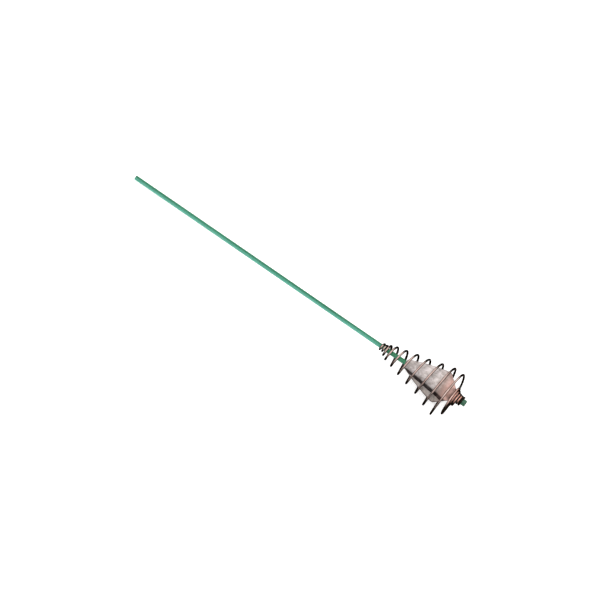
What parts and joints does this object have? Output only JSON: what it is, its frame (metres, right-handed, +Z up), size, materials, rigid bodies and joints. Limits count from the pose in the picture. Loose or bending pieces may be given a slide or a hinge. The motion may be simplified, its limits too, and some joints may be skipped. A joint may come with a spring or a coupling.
{
  "type": "spring feeder on anti-tangle tube",
  "caption": "Wire spring feeder cage with a sliding cast weight, on a thin hollow anti-tangle tube that a fishing line runs through.",
  "frame": {"origin": "centre of the bounding box at the level of the table the feeder lies on", "axes": "+X from the tube's tail end towards the nose of the feeder, +Z up from the table; the tube rises 3.7 degrees towards the nose"},
  "size_m": [0.2496, 0.0333, 0.0336],
  "materials": {
    "tube_plastic": "gloss",
    "sleeve_plastic": "satin",
    "spring_wire": "satin",
    "cast_lead": "satin"
  },
  "bodies": {
    "feeder": {"anti_tangle_tube": "tube_plastic", "end_sleeve": "sleeve_plastic", "feeder_spring": "spring_wire"},
    "weight": {"lead_weight": "cast_lead"}
  },
  "joints": [
    {"name": "weight_slide", "type": "slide", "parent": "feeder", "child": "weight", "axis": [-0.9979, 0, -0.0649], "range_m": [0, 0.0065]}
  ]
}
